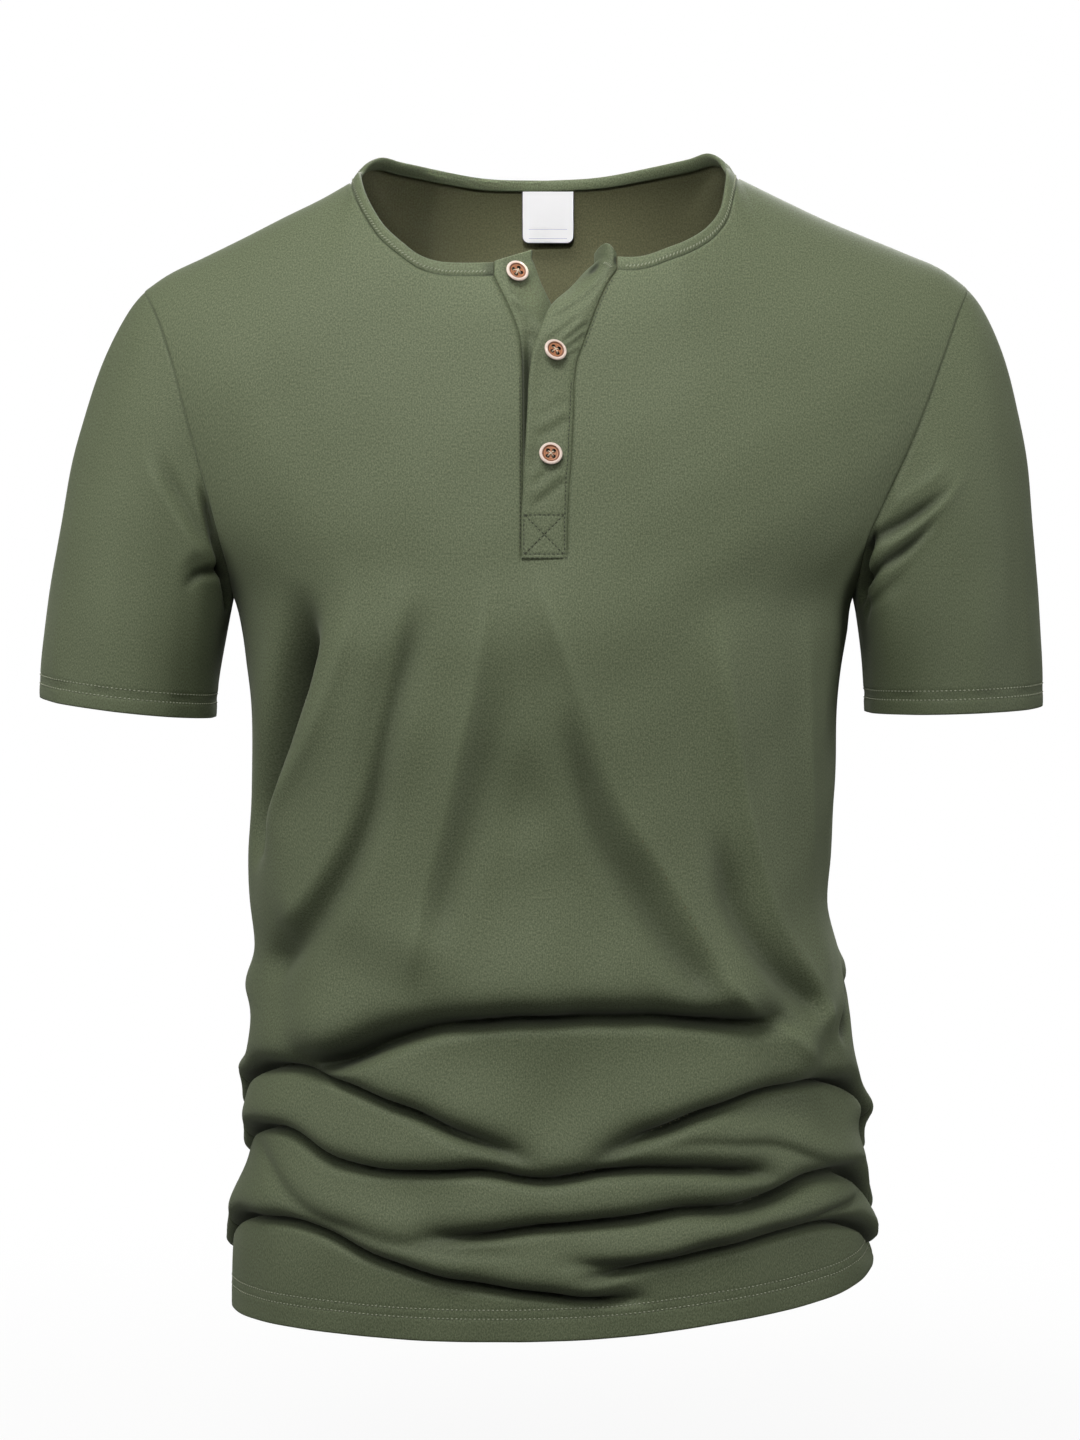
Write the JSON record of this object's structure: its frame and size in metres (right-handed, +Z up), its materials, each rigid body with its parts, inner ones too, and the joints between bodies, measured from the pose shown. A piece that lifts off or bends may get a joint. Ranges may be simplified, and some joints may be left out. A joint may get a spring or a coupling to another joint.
{
  "type": "henley shirt",
  "caption": "Short-sleeved henley shirt in plain jersey with a three-button placket spread open at the neck, filled out as worn with no wearer.",
  "frame": {"origin": "middle of the neck, level with the points where the shoulder seams meet the neckband", "axes": "+Z up, the front faces -Y, +X is the wearer's left"},
  "size_m": [0.5703, 0.2356, 0.6557],
  "materials": {
    "jersey": "soft melange knit, army green",
    "band_jersey": "soft melange knit, army green",
    "placket_jersey": "soft melange knit, army green",
    "label_satin": "white satin",
    "button_wood": "satin, reddish brown with a pale rim"
  },
  "bodies": {
    "root": {"front": "jersey", "back": "jersey", "sleeve_right": "jersey", "sleeve_left": "jersey", "neckband": "band_jersey", "placket_under": "placket_jersey", "placket_over": "placket_jersey", "neck_label": "label_satin", "button_top": "button_wood", "button_middle": "button_wood", "button_bottom": "button_wood"}
  },
  "joints": []
}
